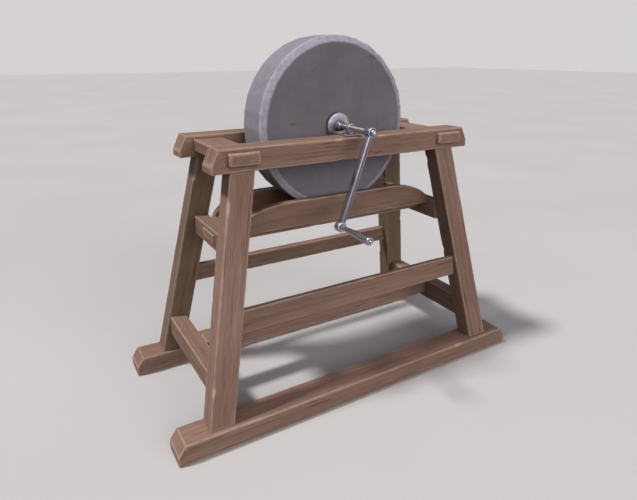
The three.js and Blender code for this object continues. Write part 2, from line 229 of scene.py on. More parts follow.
STONE_COLORS = {
    "dark": (0.125, 0.116, 0.137),
    "pale": (0.184, 0.172, 0.197),
    "mottle": (0.145, 0.133, 0.146),
    "pale_grit": (0.27, 0.255, 0.28),
    "dark_grit": (0.07, 0.065, 0.08),
    "pit": (0.055, 0.05, 0.06),
    # arris: worn stone on the arrises, and painted highlight where it lies on the chamfer and rim, the bright
    # band that light from above puts there.
    "arris": (0.47, 0.445, 0.53),
    "score": (0.06, 0.055, 0.065),
}


def stone_material():
    """Fine sandstone: mottled, with dark pits, pale arrises and faint dressing marks. The pale on its chamfer
    and rim is partly painted highlight.
    """
    color = STONE_COLORS
    s = Shader("stone")
    place = s.attribute("grain", "Vector")
    wear = s.attribute("wear", "Fac")

    cloud = s.noise(place, 7.0, 4, 0.6, 0.5)
    mottle = s.noise(place, 46.0, 5, 0.65)
    grit = s.noise(place, 900.0, 2, 0.6)
    cells = s.node("ShaderNodeTexVoronoi", {"Vector": place, "Scale": 60.0, "Randomness": 1.0})
    spots = s.noise(place, 21.0, 2, 0.4)
    pit = s.math(
        "MULTIPLY",
        s.span(cells.outputs["Distance"], 0.1, 0.2, 1, 0),
        s.span(spots, 0.6, 0.66),
    )

    base = s.mix(s.span(cloud, 0.3, 0.7), color["dark"], color["pale"])
    base = s.mix(s.span(mottle, 0.35, 0.7, 0, 0.5), base, color["mottle"])
    base = s.mix(s.span(grit, 0.4, 0.75, 0, 0.35), base, color["pale_grit"])
    base = s.mix(s.span(grit, 0.2, 0.42, 0.3, 0), base, color["dark_grit"])
    base = s.mix(s.math("MULTIPLY", pit, 0.75), base, color["pit"])
    scuff = s.noise(place, 70.0, 3, 0.6)
    # Pale arrises: wear, and on the chamfer and rim painted highlight.
    edge = s.math("MULTIPLY", wear, s.span(scuff, 0.32, 0.6, 0.6, 1), True)
    base = s.mix(s.math("MULTIPLY", edge, 0.85), base, color["arris"])
    score = s.noise(s.scaled(place, (3, 1, 24), (5, 0, 1)), 1.0, 1, 0.3, 0.5)
    score = s.math("MULTIPLY", s.span(score, 0.735, 0.75), s.span(cloud, 0.5, 0.6))
    base = s.mix(s.math("MULTIPLY", score, 0.6), base, color["score"])

    rough = s.span(mottle, 0.3, 0.7, 0.82, 0.96)
    relief = s.math("ADD", s.math("MULTIPLY", grit, 0.35), s.math("MULTIPLY", mottle, 0.9))
    relief = s.math("SUBTRACT", relief, s.math("MULTIPLY", pit, 1.5))
    normal = s.bump(relief, 0.5, 1.1 * MM)
    return s.finish(base_color=base, roughness=rough, normal=normal)


def metal(name, bright, dull, worn, rough_low, rough_high):
    """Worn steel or iron: rubbed bright on its arrises, stained and scratched elsewhere."""
    s = Shader(name)
    place = s.attribute("grain", "Vector")
    wear = s.attribute("wear", "Fac")

    stain = s.noise(place, 38.0, 3, 0.55, 0.4)
    speck = s.noise(place, 420.0, 3, 0.6)
    scratch = s.noise(s.scaled(place, (1, 0.06, 1)), 1500.0, 2, 0.5)
    base = s.mix(s.span(stain, 0.36, 0.7, 0, 0.7), bright, dull)
    base = s.mix(s.span(speck, 0.6, 0.78, 0, 0.35), base, dull)
    scuff = s.noise(place, 160.0, 3, 0.6)
    edge = s.math("MULTIPLY", wear, s.span(scuff, 0.3, 0.55, 0.4, 1), True)
    base = s.mix(s.math("MULTIPLY", edge, 0.8), base, worn)

    rough = s.span(stain, 0.3, 0.7, rough_low, rough_high)
    rough = s.math("ADD", rough, s.span(scratch, 0.4, 0.8, 0, 0.06))
    rough = s.math("SUBTRACT", rough, s.math("MULTIPLY", edge, 0.06), True)
    relief = s.math("ADD", s.math("MULTIPLY", scratch, 0.3), s.math("MULTIPLY", speck, 0.5))
    normal = s.bump(relief, 0.12, 0.12 * MM)
    s.principled.inputs["Metallic"].default_value = 1.0
    return s.finish(base_color=base, roughness=rough, normal=normal)


FLOOR_COLORS = ((0.50, 0.49, 0.49), (0.53, 0.52, 0.52))


def floor_material():
    s = Shader("floor")
    place = s.node("ShaderNodeTexCoord").outputs["Object"]
    tint = s.noise(place, 0.8, 3, 0.5)
    base = s.mix(s.span(tint, 0.3, 0.7), *FLOOR_COLORS)
    return s.finish(base_color=base, roughness=0.9)


TIMBER = wood(
    "trestle_timber",
    pale=(0.352, 0.22, 0.168),
    mid=(0.26, 0.15, 0.111),
    olive=(0.19, 0.135, 0.085),
    deep=(0.115, 0.060, 0.042),
    worn=(0.52, 0.39, 0.31),
    damp=False,
)
TROUGH_TIMBER = wood(
    "trough_timber",
    pale=(0.312, 0.187, 0.141),
    mid=(0.238, 0.136, 0.099),
    olive=(0.19, 0.125, 0.078),
    deep=(0.105, 0.056, 0.038),
    worn=(0.50, 0.37, 0.29),
    damp=True,
)
STONE = stone_material()
STEEL = metal(
    "crank_steel",
    bright=(0.148, 0.148, 0.172),
    dull=(0.095, 0.09, 0.105),
    worn=(0.5, 0.49, 0.56),
    rough_low=0.34,
    rough_high=0.48,
)
IRON = metal(
    "bearing_iron",
    bright=(0.22, 0.215, 0.23),
    dull=(0.12, 0.10, 0.095),
    worn=(0.5, 0.5, 0.53),
    rough_low=0.38,
    rough_high=0.6,
)

# ---------------- mesh building


def dice(name):
    """A random source of its own for each piece, the same in every run."""
    return np.random.default_rng(zlib.crc32(name.encode()))


def object_from(name, points, faces, grain, wear):
    """A mesh object. Each point has a place in its material's grain, and its wear, which on the grindstone's
    chamfer and rim is partly painted highlight.
    """
    mesh = bpy.data.meshes.new(name)
    mesh.from_pydata([tuple(p) for p in points], [], faces)
    attribute = mesh.attributes.new("grain", "FLOAT_VECTOR", "POINT")
    attribute.data.foreach_set("vector", np.asarray(grain, np.float32).ravel())
    attribute = mesh.attributes.new("wear", "FLOAT", "POINT")
    attribute.data.foreach_set("value", np.asarray(wear, np.float32).ravel())
    shaped = bmesh.new()
    shaped.from_mesh(mesh)
    bmesh.ops.recalc_face_normals(shaped, faces=shaped.faces)
    shaped.to_mesh(mesh)
    shaped.free()
    made = bpy.data.objects.new(name, mesh)
    bpy.context.scene.collection.objects.link(made)
    return made


# How far these timbers go from red-brown to olive, from 0 to 1: partly weathering, and on the rear legs and
# rear stretcher partly painted shade, the olive cast of timber in shade. The others go up to FRESH.
FRESH = 0.2
OLIVE_WEATHER_AND_SHADE = {
    "leg_rear_left": 0.95,
    "leg_rear_right": 0.75,
    "trough_front_board": 0.2,
    "trough_cross_left": 0.45,
    "rear_stretcher": 0.5,
}


def add_tone(piece, node):
    tone = dice(piece.name + "tone").uniform(0, FRESH)
    tone = OLIVE_WEATHER_AND_SHADE.get(node, tone)
    mesh = piece.data
    attribute = mesh.attributes.new("tone", "FLOAT", "POINT")
    attribute.data.foreach_set("value", np.full(len(mesh.vertices), tone, np.float32))


def settle(piece, node, body, material, crease=35):
    """Shades a finished piece, puts it on its body and lets it stand for its CAD node."""
    mesh = piece.data
    mesh.materials.clear()
    mesh.materials.append(material)
    mesh.shade_smooth()
    mesh.set_sharp_from_angle(angle=math.radians(crease))
    add_tone(piece, node)
    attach(piece, body)
    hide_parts(node)
    return piece


def combine(first, second, operation):
    """Joins second to first or cuts it away, and removes second."""
    modifier = first.modifiers.new("combine", "BOOLEAN")
    modifier.operation = operation
    modifier.object = second
    modifier.solver = "MANIFOLD"
    graph = bpy.context.evaluated_depsgraph_get()
    mesh = bpy.data.meshes.new_from_object(first.evaluated_get(graph))
    first.modifiers.clear()
    first.data = mesh
    bpy.data.objects.remove(second)
    return first


def skin(name, rings, grain, wear):
    """A closed surface over rings of points. The first and last ring shrink to their middle points."""
    rings = np.asarray(rings, float)
    grain = np.asarray(grain, float)
    wear = np.asarray(wear, float)
    count, around = rings.shape[:2]
    faces = []
    for i in range(count - 1):
        for j in range(around):
            k = (j + 1) % around
            low, high = i * around, (i + 1) * around
            faces.append((low + j, low + k, high + k, high + j))
    first, last = count * around, count * around + 1
    for j in range(around):
        k = (j + 1) % around
        faces.append((first, k, j))
        faces.append((last, (count - 1) * around + j, (count - 1) * around + k))
    points = np.concatenate([rings.reshape(-1, 3), [rings[0].mean(0)], [rings[-1].mean(0)]])
    grain = np.concatenate([grain.reshape(-1, 3), [grain[0].mean(0)], [grain[-1].mean(0)]])
    wear = np.concatenate([wear.ravel(), [0, 0]])
    return object_from(name, points, faces, grain, wear)


# ---------------- timbers

STEP = 7 * MM  # between two rings along a timber
ACROSS = 16 * MM  # between two points across a face
FADE = 3.2 * MM  # how far a worn arris fades into the face
MOST_WORN = 0.4  # the most of a face's width that one worn arris takes, with its fade
SIDES = [((0, 0), (1, 0)), ((1, 0), (1, 1)), ((1, 1), (0, 1)), ((0, 1), (0, 0))]
# How far in the middle of an arris lies, as a share of its size, and how much further where it is chipped.
ARRIS_MIDDLE = {"worn": 0.32, "chipped": 0.16}
CAP_RINGS = (0.86, 0.45)  # the sizes of the rings inside an end face
MORTISE_ROOM = 0.35 * MM
SHOULDER_GAP = 0.3 * MM  # between a leg's end and the timber that it stands on or under

# The unevenness of an arris: how much of its size varies, and how many waves there are in a metre.
ARRIS_WAVES = {"share": 0.3, "long": 16, "short": 70}
# Chips in the long arrises: half lengths and depths in millimetres, and the depth of a wholly bare one.
CHIP = {"per_metre": 1.5, "half": (8, 22), "depth": (1, 4), "skew": 0.6, "bare": 3 * MM}
# The hollows that sawing and planing leave: their greatest depth, and how many there are in a metre.
SAWN = {"depth": 0.9 * MM, "waves": 14}


class Timber:
    """A worn timber in the shape of a hexahedron. Its corners are [along][across][across]."""

    def __init__(self, name, corners, bevel=2.6 * MM, end_bevel=2.6 * MM, chips=1.0):
        self.name = name
        self.corners = np.asarray(corners, float)
        self.bevel = bevel
        self.end_bevel = end_bevel
        self.random = dice(name)
        self.chips = chips
        ends = self.corners.mean(axis=(1, 2))
        self.length = float(np.linalg.norm(ends[1] - ends[0]))
        self.origin = self.random.uniform(-20, 20, 3)
        self.profile = None
        self.extra_rings = []
        self.creases = []

    def at(self, a, b, c):
        """The point a along the timber and b, c across it, each from 0 to 1."""
        p = self.corners
        near = (p[0, 0, 0] * (1 - b) + p[0, 1, 0] * b) * (1 - c) + (p[0, 0, 1] * (1 - b) + p[0, 1, 1] * b) * c
        far = (p[1, 0, 0] * (1 - b) + p[1, 1, 0] * b) * (1 - c) + (p[1, 0, 1] * (1 - b) + p[1, 1, 1] * b) * c
        return near * (1 - a) + far * a

    def widths(self, a):
        """The timber's size across its two short ways at a."""
        return [
            float(np.linalg.norm(self.at(a, 1, 0.5) - self.at(a, 0, 0.5))),
            float(np.linalg.norm(self.at(a, 0.5, 1) - self.at(a, 0.5, 0))),
        ]

    def distances(self):
        """Distances of the rings from the first end, with the inset of each from the full section."""
        e = self.end_bevel
        inner = list(np.arange(e + FADE + STEP, self.length - e - FADE - STEP * 0.5, STEP))
        inner += [d for d in self.extra_rings if e + FADE < d < self.length - e - FADE]
        near = [(0, e), (0.3 * e, 0.3 * e), (e, 0), (e + FADE, 0)]
        far = [(self.length - d, inset) for d, inset in reversed(near)]
        return near + [(d, 0) for d in sorted(inner)] + far

    def arris_sizes(self, distances):
        """How far each of the four long arrises is worn away at each ring, and where it is chipped."""
        sizes = np.zeros((4, len(distances)))
        chipped = np.zeros((4, len(distances)))
        for k in range(4):
            seed = self.random.uniform(0, 100)
            for i, (d, _) in enumerate(distances):
                wave = noise.noise(Vector((seed, d * ARRIS_WAVES["long"], 0)))
                wave += 0.5 * noise.noise(Vector((seed, d * ARRIS_WAVES["short"], 3)))
                sizes[k, i] = self.bevel * (1 + ARRIS_WAVES["share"] * wave)
            for _ in range(self.random.poisson(self.length * CHIP["per_metre"] * self.chips)):
                middle = self.random.uniform(0, self.length)
                half = self.random.uniform(*CHIP["half"]) * MM
                depth = self.random.uniform(*CHIP["depth"]) * MM
                skew = self.random.uniform(-CHIP["skew"], CHIP["skew"])
                for i, (d, _) in enumerate(distances):
                    t = (d - middle) / half
                    if abs(t) < 1:
                        bite = depth * (1 - t * t) ** 0.6 * (1 + skew * t)
                        sizes[k, i] += bite
                        chipped[k, i] = max(chipped[k, i], min(1, bite / CHIP["bare"]))
        return sizes, chipped

    def section(self, sizes, chipped, widths, counts):
        """One ring of points across the timber, each place from 0 to 1, and their wear.

        Each of its four sides runs from arris to arris, with one more point on the middle of the arris.
        """
        ring, marks = [], []
        for k, (start, end) in enumerate(SIDES):
            following = (k + 1) % 4
            width, other = widths[k % 2], widths[following % 2]
            limit = MOST_WORN * width - FADE
            e0, e1 = min(sizes[k], limit), min(sizes[following], limit)
            inner = np.linspace(e0 + FADE, width - e1 - FADE, counts[k % 2] + 2)
            along = [e0, *inner, width - e1]
            for n, s in enumerate(along):
                t = s / width
                ring.append((start[0] + (end[0] - start[0]) * t, start[1] + (end[1] - start[1]) * t))
                at_arris = n in (0, len(along) - 1)
                nearest = k if n == 0 else following
                marks.append(1.0 + chipped[nearest] if at_arris else 0.0)
            q = ARRIS_MIDDLE["worn"] + ARRIS_MIDDLE["chipped"] * min(1, chipped[following])
            back = (start[0] - end[0], start[1] - end[1])
            turn = SIDES[following]
            on = (turn[1][0] - turn[0][0], turn[1][1] - turn[0][1])
            middle = [end[i] + back[i] * q * e1 / width + on[i] * q * e1 / other for i in range(2)]
            ring.append(tuple(middle))
            marks.append(1.0 + chipped[following])
        return ring, marks

    def marked(self, d, ring, marks):
        """The wear of a ring at d, with the arrises round an end face and along a crease added."""
        end = self.end_bevel * 1.01  # a little over, for rounding
        if d <= end or d >= self.length - end:
            marks = [1.0] * len(marks)
        if any(abs(d - crease) < 1 * MM for crease in self.creases):
            marks = [max(mark, 1.0) if c > 0.9 else mark for mark, (b, c) in zip(marks, ring)]
        return marks

    def build(self):
        distances = self.distances()
        sizes, chipped = self.arris_sizes(distances)
        counts = [max(1, round((w - 2 * (self.bevel + FADE)) / ACROSS)) for w in self.widths(0.5)]
        rings, grain, wear = [], [], []
        for i, (d, inset) in enumerate(distances):
            w = self.widths(d / self.length)
            ring, marks = self.section(sizes[:, i], chipped[:, i], w, counts)
            rings.append([self.shaped(d / self.length, b, c, w, inset) for b, c in ring])
            grain.append([(d, (b - 0.5) * w[0], (c - 0.5) * w[1]) for b, c in ring])
            wear.append(self.marked(d, ring, marks))
        rings, grain, wear = self.capped(rings, grain, wear)
        rings = self.sawn(rings)
        grain = np.asarray(grain) + self.origin
        return skin(self.name, rings, grain, wear)

    def shaped(self, a, b, c, w, inset):
        """A point of the section at a, drawn in by the inset, and lowered by the profile if there is one."""
        b = 0.5 + (b - 0.5) * (1 - 2 * inset / w[0])
        c = 0.5 + (c - 0.5) * (1 - 2 * inset / w[1])
        if self.profile is not None:
            c = c * self.profile(a * self.length)
        return self.at(a, b, c)

    def capped(self, rings, grain, wear):
        """Adds two smaller rings inside each end face."""
        for place in (0, -1):
            ring, marks = np.asarray(rings[place]), np.asarray(grain[place])
            for share in CAP_RINGS:
                smaller = ring.mean(0) + (ring - ring.mean(0)) * share
                inner = marks.mean(0) + (marks - marks.mean(0)) * share
                at = 0 if place == 0 else len(rings)
                rings.insert(at, smaller)
                grain.insert(at, inner)
                wear.insert(at, [0.0] * len(ring))
        return np.asarray(rings, float), grain, wear

    def sawn(self, rings):
        """Draws the surface in by less than a millimetre, as an uneven saw or plane leaves it."""
        middle = rings.mean(axis=1, keepdims=True)
        inward = middle - rings
        inward /= np.maximum(np.linalg.norm(inward, axis=2, keepdims=True), 1e-9)
        seed = self.random.uniform(0, 50)
        out = rings.copy()
        waves, deepest = SAWN["waves"], SAWN["depth"]
        for i in range(rings.shape[0]):
            for j in range(rings.shape[1]):
                x, y, z = rings[i, j] * waves
                share = 0.5 + 0.5 * noise.noise(Vector((x + seed, y, z)))
                out[i, j] += inward[i, j] * share * deepest
        return out


def level(node, z):
    """The lowest and highest x and y of a node's solid at height z, where it has corners."""
    points = np.array([v.co for v in frame["nodes"][node].data.vertices])
    near = points[np.abs(points[:, 2] - z) < 0.2 * MM]
    return near[:, 0].min(), near[:, 0].max(), near[:, 1].min(), near[:, 1].max()


AXIS_ORDER = {"x": (0, 1, 2, 3), "y": (1, 0, 2, 3), "z": (2, 0, 1, 3)}


def corners_between(node, low, high, along):
    """The eight corners of a timber from its sections at two heights, ordered along its length."""
    bottom, top = level(node, low), level(node, high)
    p = np.zeros((2, 2, 2, 3))  # [x][y][z]
    for i in range(2):
        for j in range(2):
            p[i, j, 0] = (bottom[i], bottom[2 + j], low)
            p[i, j, 1] = (top[i], top[2 + j], high)
    return p.transpose(AXIS_ORDER[along])


def sloped_corners(node, along):
    """The corners of a timber whose ends follow the legs."""
    low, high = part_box(node)
    return corners_between(node, low.z, high.z, along)


def box_corners(node, along):
    """The corners of a node's box, ordered along its length."""
    low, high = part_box(node)
    ranges = [(low[i], high[i]) for i in range(3)]
    p = [[[(x, y, z) for z in ranges[2]] for y in ranges[1]] for x in ranges[0]]
    return np.array(p).transpose(AXIS_ORDER[along])


def place_timber(timber, material=None, cutters=()):
    piece = timber.build()
    for node in cutters:
        combine(piece, mortise(node), "DIFFERENCE")
    node = timber.name.removesuffix("_worn")
    return settle(piece, node, "stand", material or TIMBER)


def mortise(node):
    """A box that is a little larger than the timber that passes through."""
    low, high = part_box(node)
    ranges = [(low[i] - MORTISE_ROOM, high[i] + MORTISE_ROOM) for i in range(3)]
    corners = list(itertools.product(*ranges))
    faces = [(0, 1, 3, 2), (4, 6, 7, 5), (0, 4, 5, 1), (2, 3, 7, 6), (0, 2, 6, 4), (1, 5, 7, 3)]
    return object_from("mortise", corners, faces, corners, [0] * 8)


HEAVY_BEVEL = 3 * MM
SKID_CHAMFER = {"run": 22 * MM, "drop": 32 * MM}
RAIL_CHAMFER = {"run": 22 * MM, "drop": 45 * MM}


def chamfered(name, chamfer, cutters=()):
    """A skid or rail, with its upper corners cut away at both ends."""
    low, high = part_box(name)
    timber = Timber(name + "_worn", box_corners(name, "x"), bevel=HEAVY_BEVEL, end_bevel=HEAVY_BEVEL)
    height = high.z - low.z
    run, drop = chamfer["run"], chamfer["drop"]

    def profile(d):
        edge = min(d, timber.length - d)
        return 1 - drop / height * max(0, 1 - edge / run)

    timber.profile = profile
    beside = run + 2 * MM
    timber.extra_rings = [run, beside, timber.length - run, timber.length - beside]
    timber.creases = timber.extra_rings
    return place_timber(timber, cutters=cutters)


def make_trestle():
    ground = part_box("front_skid")[1].z + SHOULDER_GAP
    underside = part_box("front_rail")[0].z - SHOULDER_GAP
    for end in ("front", "rear"):
        chamfered(f"{end}_skid", SKID_CHAMFER)
        chamfered(f"{end}_rail", RAIL_CHAMFER, cutters=("end_tie_left", "end_tie_right"))
        for side in ("left", "right"):
            node = f"leg_{end}_{side}"
            corners = corners_between(node, ground, underside, "z")
            place_timber(Timber(node + "_worn", corners, bevel=HEAVY_BEVEL, chips=0.5))
    for side in ("left", "right"):
        tie = box_corners(f"end_tie_{side}", "y")
        place_timber(Timber(f"end_tie_{side}_worn", tie, end_bevel=5 * MM, chips=0.6))
        cross = sloped_corners(f"trough_cross_{side}", "y")
        place_timber(Timber(f"trough_cross_{side}_worn", cross), cutters=["trough_bearer"])
        low_cross = sloped_corners(f"low_cross_{side}", "y")
        place_timber(Timber(f"low_cross_{side}_worn", low_cross))
    place_timber(Timber("trough_bearer_worn", box_corners("trough_bearer", "x")))
    for node in ("centre_stretcher", "front_stretcher", "rear_stretcher"):
        place_timber(Timber(node + "_worn", sloped_corners(node, "x")))


make_trestle()

# ---------------- trough

TROUGH_CORNER = {"run": 170 * MM, "stand": 2 * MM}


def trough_side(node):
    """A side board whose upper corners are quarter ellipses."""
    low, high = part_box(node)
    timber = Timber(node + "_worn", box_corners(node, "x"), bevel=2.6 * MM, end_bevel=2 * MM)
    run, stand, height = TROUGH_CORNER["run"], TROUGH_CORNER["stand"], high.z - low.z

    def profile(d):
        edge = min(d, timber.length - d)
        if edge >= run:
            return 1.0
        rise = math.sqrt(max(0, 1 - ((run - edge) / run) ** 2))
        return (stand + (height - stand) * rise) / height

    timber.profile = profile
    steep = [run * (1 - math.cos(math.radians(angle))) for angle in range(8, 44, 3)]
    timber.extra_rings = steep + [timber.length - d for d in steep]
    place_timber(timber, TROUGH_TIMBER)


def make_trough():
    for end in ("front", "rear"):
        trough_side(f"trough_{end}_board")
    floor = Timber("trough_floor_board_worn", box_corners("trough_floor_board", "x"), bevel=1.2 * MM)
    place_timber(floor, TROUGH_TIMBER)
    for side in ("left", "right"):
        node = f"trough_end_{side}"
        board = Timber(node + "_worn", box_corners(node, "y"), bevel=2.2 * MM, end_bevel=1 * MM)
        place_timber(board, TROUGH_TIMBER)


make_trough()

# ---------------- turned pieces

STONE_LOW, STONE_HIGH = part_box("grindstone")
AXIS_Y = (STONE_LOW.y + STONE_HIGH.y) / 2
AXIS_Z = (STONE_LOW.z + STONE_HIGH.z) / 2
JOINTS = {joint["name"]: joint for joint in frame["joints"]}
GRIP_X, _, GRIP_Z = JOINTS["grip_spin"]["pos_m"]
THROW = math.hypot(GRIP_X, GRIP_Z - AXIS_Z)
LEAN = math.atan2(-GRIP_X, AXIS_Z - GRIP_Z)


def rounded(profile, size):
    """Replaces each corner of a closed outline by three points, and marks them as worn."""
    out = []
    count = len(profile)
    for i in range(count):
        before, here, after = (Vector(profile[(i + k) % count]) for k in (-1, 0, 1))
        to_before, to_after = before - here, after - here
        cut = min(size, 0.3 * to_before.length, 0.3 * to_after.length)
        first = here + to_before.normalized() * cut
        last = here + to_after.normalized() * cut
        out += [(*first, 1.0), (*(here * 0.4 + (first + last) * 0.3), 1.0), (*last, 1.0)]
    return out


def solid_outline(profile, size):
    """Rounds the outline of a body that is closed on its axis. The points on the axis stay sharp."""
    marked = rounded(profile, size)
    kept = []
    for i, (radius, y) in enumerate(profile):
        if radius == 0:
            kept.append((0.0, y, 0.0))
        else:
            kept += marked[3 * i : 3 * i + 3]
    return kept


def revolve(name, profile, segments=96, change=None, centre=(0, 0, 0)):
    """A ring-shaped body about the Y axis. Each point of the outline is radius, y and wear; on the grindstone
    that wear is partly painted highlight.
    """
    points, grain, wear, faces = [], [], [], []
    count = len(profile)
    for j in range(segments):
        angle = 2 * math.pi * j / segments
        for radius, y, mark in profile:
            if change is not None:
                radius, y = change(angle, radius, y)
            points.append((centre[0] + radius * math.cos(angle), y, centre[2] + radius * math.sin(angle)))
            grain.append((radius * math.cos(angle), y, radius * math.sin(angle)))
            wear.append(mark)
    for j in range(segments):
        k = (j + 1) % segments
        for i in range(count):
            n = (i + 1) % count
            faces.append((j * count + i, j * count + n, k * count + n, k * count + i))
    piece = object_from(name, points, faces, grain, wear)
    on_axis = bmesh.new()
    on_axis.from_mesh(piece.data)
    bmesh.ops.remove_doubles(on_axis, verts=on_axis.verts, dist=1e-6)
    bmesh.ops.dissolve_degenerate(on_axis, edges=on_axis.edges, dist=1e-7)
    on_axis.to_mesh(piece.data)
    on_axis.free()
    return piece


def put(piece, lean=0.0):
    """Moves a piece made about the origin onto the shaft's axis."""
    piece.data.transform(Matrix.Translation((0, 0, AXIS_Z)) @ Matrix.Rotation(lean, 4, "Y"))
    return piece


# ---------------- grindstone

# The stone is faceted from rim_from outwards. Its outer arris is dressed from arris_from outwards and
# back to rim_reach from its face, and the inner arris as far as inner_reach across and face_reach back.
STONE_SIZE = {
    "radius": 250 * MM,
    "rim_width": 10 * MM,
    "rim_depth": 17 * MM,
    "bore": 12.3 * MM,
    "rim_from": 200 * MM,
    "arris_from": 243 * MM,
    "rim_reach": 18 * MM,
    "inner_reach": 5 * MM,
    "face_reach": 2 * MM,
}
# How pale each part of the outline is painted: the arris and inner marks are wear; the chamfer and rim marks
# are partly painted highlight, the brightness that light puts on the bevel and rim.
STONE_WEAR_AND_HIGHLIGHT = {"inner": (0.6, 0.85), "chamfer": 0.78, "arris": 1.0, "rim": (0.42, 0.36)}
STONE_FACETS = 34
STONE_SEGMENTS = 272
# Chips round the rim: how many, half of each one's angle, and its depth in millimetres.
STONE_CHIP = {"count": 16, "half_degrees": (0.8, 2.2), "depth": (0.8, 3.2)}
# The shares of its depth that a chip bites in from the rim and back from the face, at each arris.
BITE = {"rim": (0.75, 0.4), "inner": (0.4, 0.25)}
FACET_SHARE = 0.9  # how flat the rim's facets are, where 1 is quite flat
# The unevenness of the rim, of each arris and of the faces.
RIM_DRESSING = 0.25 * MM
INNER_ARRIS = (0.6 * MM, 0.25 * MM)
OUTER_ARRIS = 0.7 * MM
FACE_DRESSING = 0.35 * MM


def stone_outline():
    """Half of the outline from the bore to the middle of the rim, then its mirror image."""
    face = (STONE_HIGH.y - STONE_LOW.y) / 2
    radius, depth, width = STONE_SIZE["radius"], STONE_SIZE["rim_depth"], STONE_SIZE["rim_width"]
    inner = radius - depth
    half = [(STONE_SIZE["bore"], -face, 0.0)]
    half += [(r, -face, 0.0) for r in np.linspace(0.03, inner - 9 * MM, 9)]
    half += [
        (inner - 4 * MM, -face, 0.0),
        (inner - 0.8 * MM, -face + 0.1 * MM, STONE_WEAR_AND_HIGHLIGHT["inner"][0]),
        (inner + 1.2 * MM, -face + 0.7 * MM, STONE_WEAR_AND_HIGHLIGHT["inner"][1]),
    ]
    for share in (0.25, 0.5, 0.75):
        half.append((inner + depth * share, -face + width * share, STONE_WEAR_AND_HIGHLIGHT["chamfer"]))
    near_rim, on_rim = STONE_WEAR_AND_HIGHLIGHT["rim"]
    half += [
        (radius - 1.3 * MM, -face + width - 0.9 * MM, STONE_WEAR_AND_HIGHLIGHT["arris"]),
        (radius - 0.1 * MM, -face + width + 1.2 * MM, STONE_WEAR_AND_HIGHLIGHT["arris"]),
        (radius, -face + width + 5 * MM, near_rim),
    ]
    half += [(radius, y, on_rim) for y in np.linspace(-face + width + 14 * MM, -6 * MM, 4)]
    return half + [(r, -y, mark) for r, y, mark in reversed(half)]


def stone_chips(random):
    """Places round the rim where stone is missing: angle, half angle, depth, and which side."""
    chips = []
    for _ in range(STONE_CHIP["count"]):
        half = math.radians(random.uniform(*STONE_CHIP["half_degrees"]))
        middle = random.uniform(0, 2 * math.pi)
        depth = random.uniform(*STONE_CHIP["depth"]) * MM
        chips.append((middle, half, depth, random.choice([-1, 1])))
    return chips


def make_stone():
    """The outline turned round the shaft, with a faceted rim, uneven arrises and chips."""
    random = dice("grindstone")
    chips = stone_chips(random)
    face = (STONE_HIGH.y - STONE_LOW.y) / 2
    facet = 2 * math.pi / STONE_FACETS
    inner = STONE_SIZE["radius"] - STONE_SIZE["rim_depth"]

    def change(angle, radius, y):
        side = -1 if y < 0 else 1
        around = Vector((math.cos(angle), math.sin(angle), side * 2)) * 3.5
        if radius > STONE_SIZE["rim_from"]:
            flat = math.cos(facet / 2) / math.cos((angle % facet) - facet / 2)
            radius *= 1 - FACET_SHARE * (1 - flat)
            radius -= RIM_DRESSING * (1 + noise.noise(around * 2.2))
        back = face - abs(y)
        at_inner = abs(radius - inner) < STONE_SIZE["inner_reach"] and back < STONE_SIZE["face_reach"]
        at_outer = radius > STONE_SIZE["arris_from"] and back < STONE_SIZE["rim_reach"]
        if at_inner:
            radius += INNER_ARRIS[0] * noise.noise(around * 3) + INNER_ARRIS[1] * noise.noise(around * 9)
        if at_outer:
            y -= side * OUTER_ARRIS * (noise.noise(around * 3.7) + 0.4 * noise.noise(around * 11))
        bite = 0
        for middle, half, depth, chip_side in chips:
            gap = abs((angle - middle + math.pi) % (2 * math.pi) - math.pi)
            if gap < half and chip_side == side and (at_inner or at_outer):
                bite = max(bite, depth * (1 - (gap / half) ** 2) ** 0.7)
        for worn, (from_rim, from_face) in ((at_outer, BITE["rim"]), (at_inner, BITE["inner"])):
            if worn:
                radius -= bite * from_rim
                y -= side * bite * from_face
        wave = noise.noise(Vector((radius * math.cos(angle) * 9, radius * math.sin(angle) * 9, side * 4)))
        y -= side * FACE_DRESSING * (1 + wave)
        return radius, y + AXIS_Y

    piece = put(revolve("grindstone_dressed", stone_outline(), STONE_SEGMENTS, change))
    settle(piece, "grindstone", "rotor", STONE, crease=28)


make_stone()

# ---------------- shaft and its fittings

SHAFT = {"radius": 9 * MM, "hub": 12 * MM, "hub_half": 58 * MM, "end": 6 * MM, "end_length": 8 * MM}
FLANGE = {"radius": 40 * MM, "step": 3 * MM}
HUB_NUT = {"radius": 16 * MM, "flat": 5 * MM}
BORE_GAP = 0.3 * MM


def y_range(node):
    low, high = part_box(node)
    return low.y, high.y


def make_shaft():
    front, rear = y_range("shaft")
    outline = [
        (0, front),
        (SHAFT["end"], front),
        (SHAFT["end"], front + SHAFT["end_length"]),
        (SHAFT["radius"], front + SHAFT["end_length"]),
        (SHAFT["radius"], AXIS_Y - SHAFT["hub_half"]),
        (SHAFT["hub"], AXIS_Y - SHAFT["hub_half"]),
        (SHAFT["hub"], AXIS_Y + SHAFT["hub_half"]),
        (SHAFT["radius"], AXIS_Y + SHAFT["hub_half"]),
        (SHAFT["radius"], rear),
        (0, rear),
    ]
    piece = put(revolve("shaft_turned", solid_outline(outline, 1.2 * MM)))
    settle(piece, "shaft", "rotor", STEEL)


def make_flange(node, outward):
    near, far = sorted(y_range(node), key=lambda y: y * outward)
    bore = SHAFT["radius"] + BORE_GAP
    outline = [
        (bore, near),
        (FLANGE["radius"], near),
        (FLANGE["radius"], far - outward * FLANGE["step"]),
        (FLANGE["radius"] - FLANGE["step"], far),
        (bore, far),
    ]
    piece = put(revolve(node + "_turned", rounded(outline, 0.9 * MM), 128))
    settle(piece, node, "rotor", STEEL)


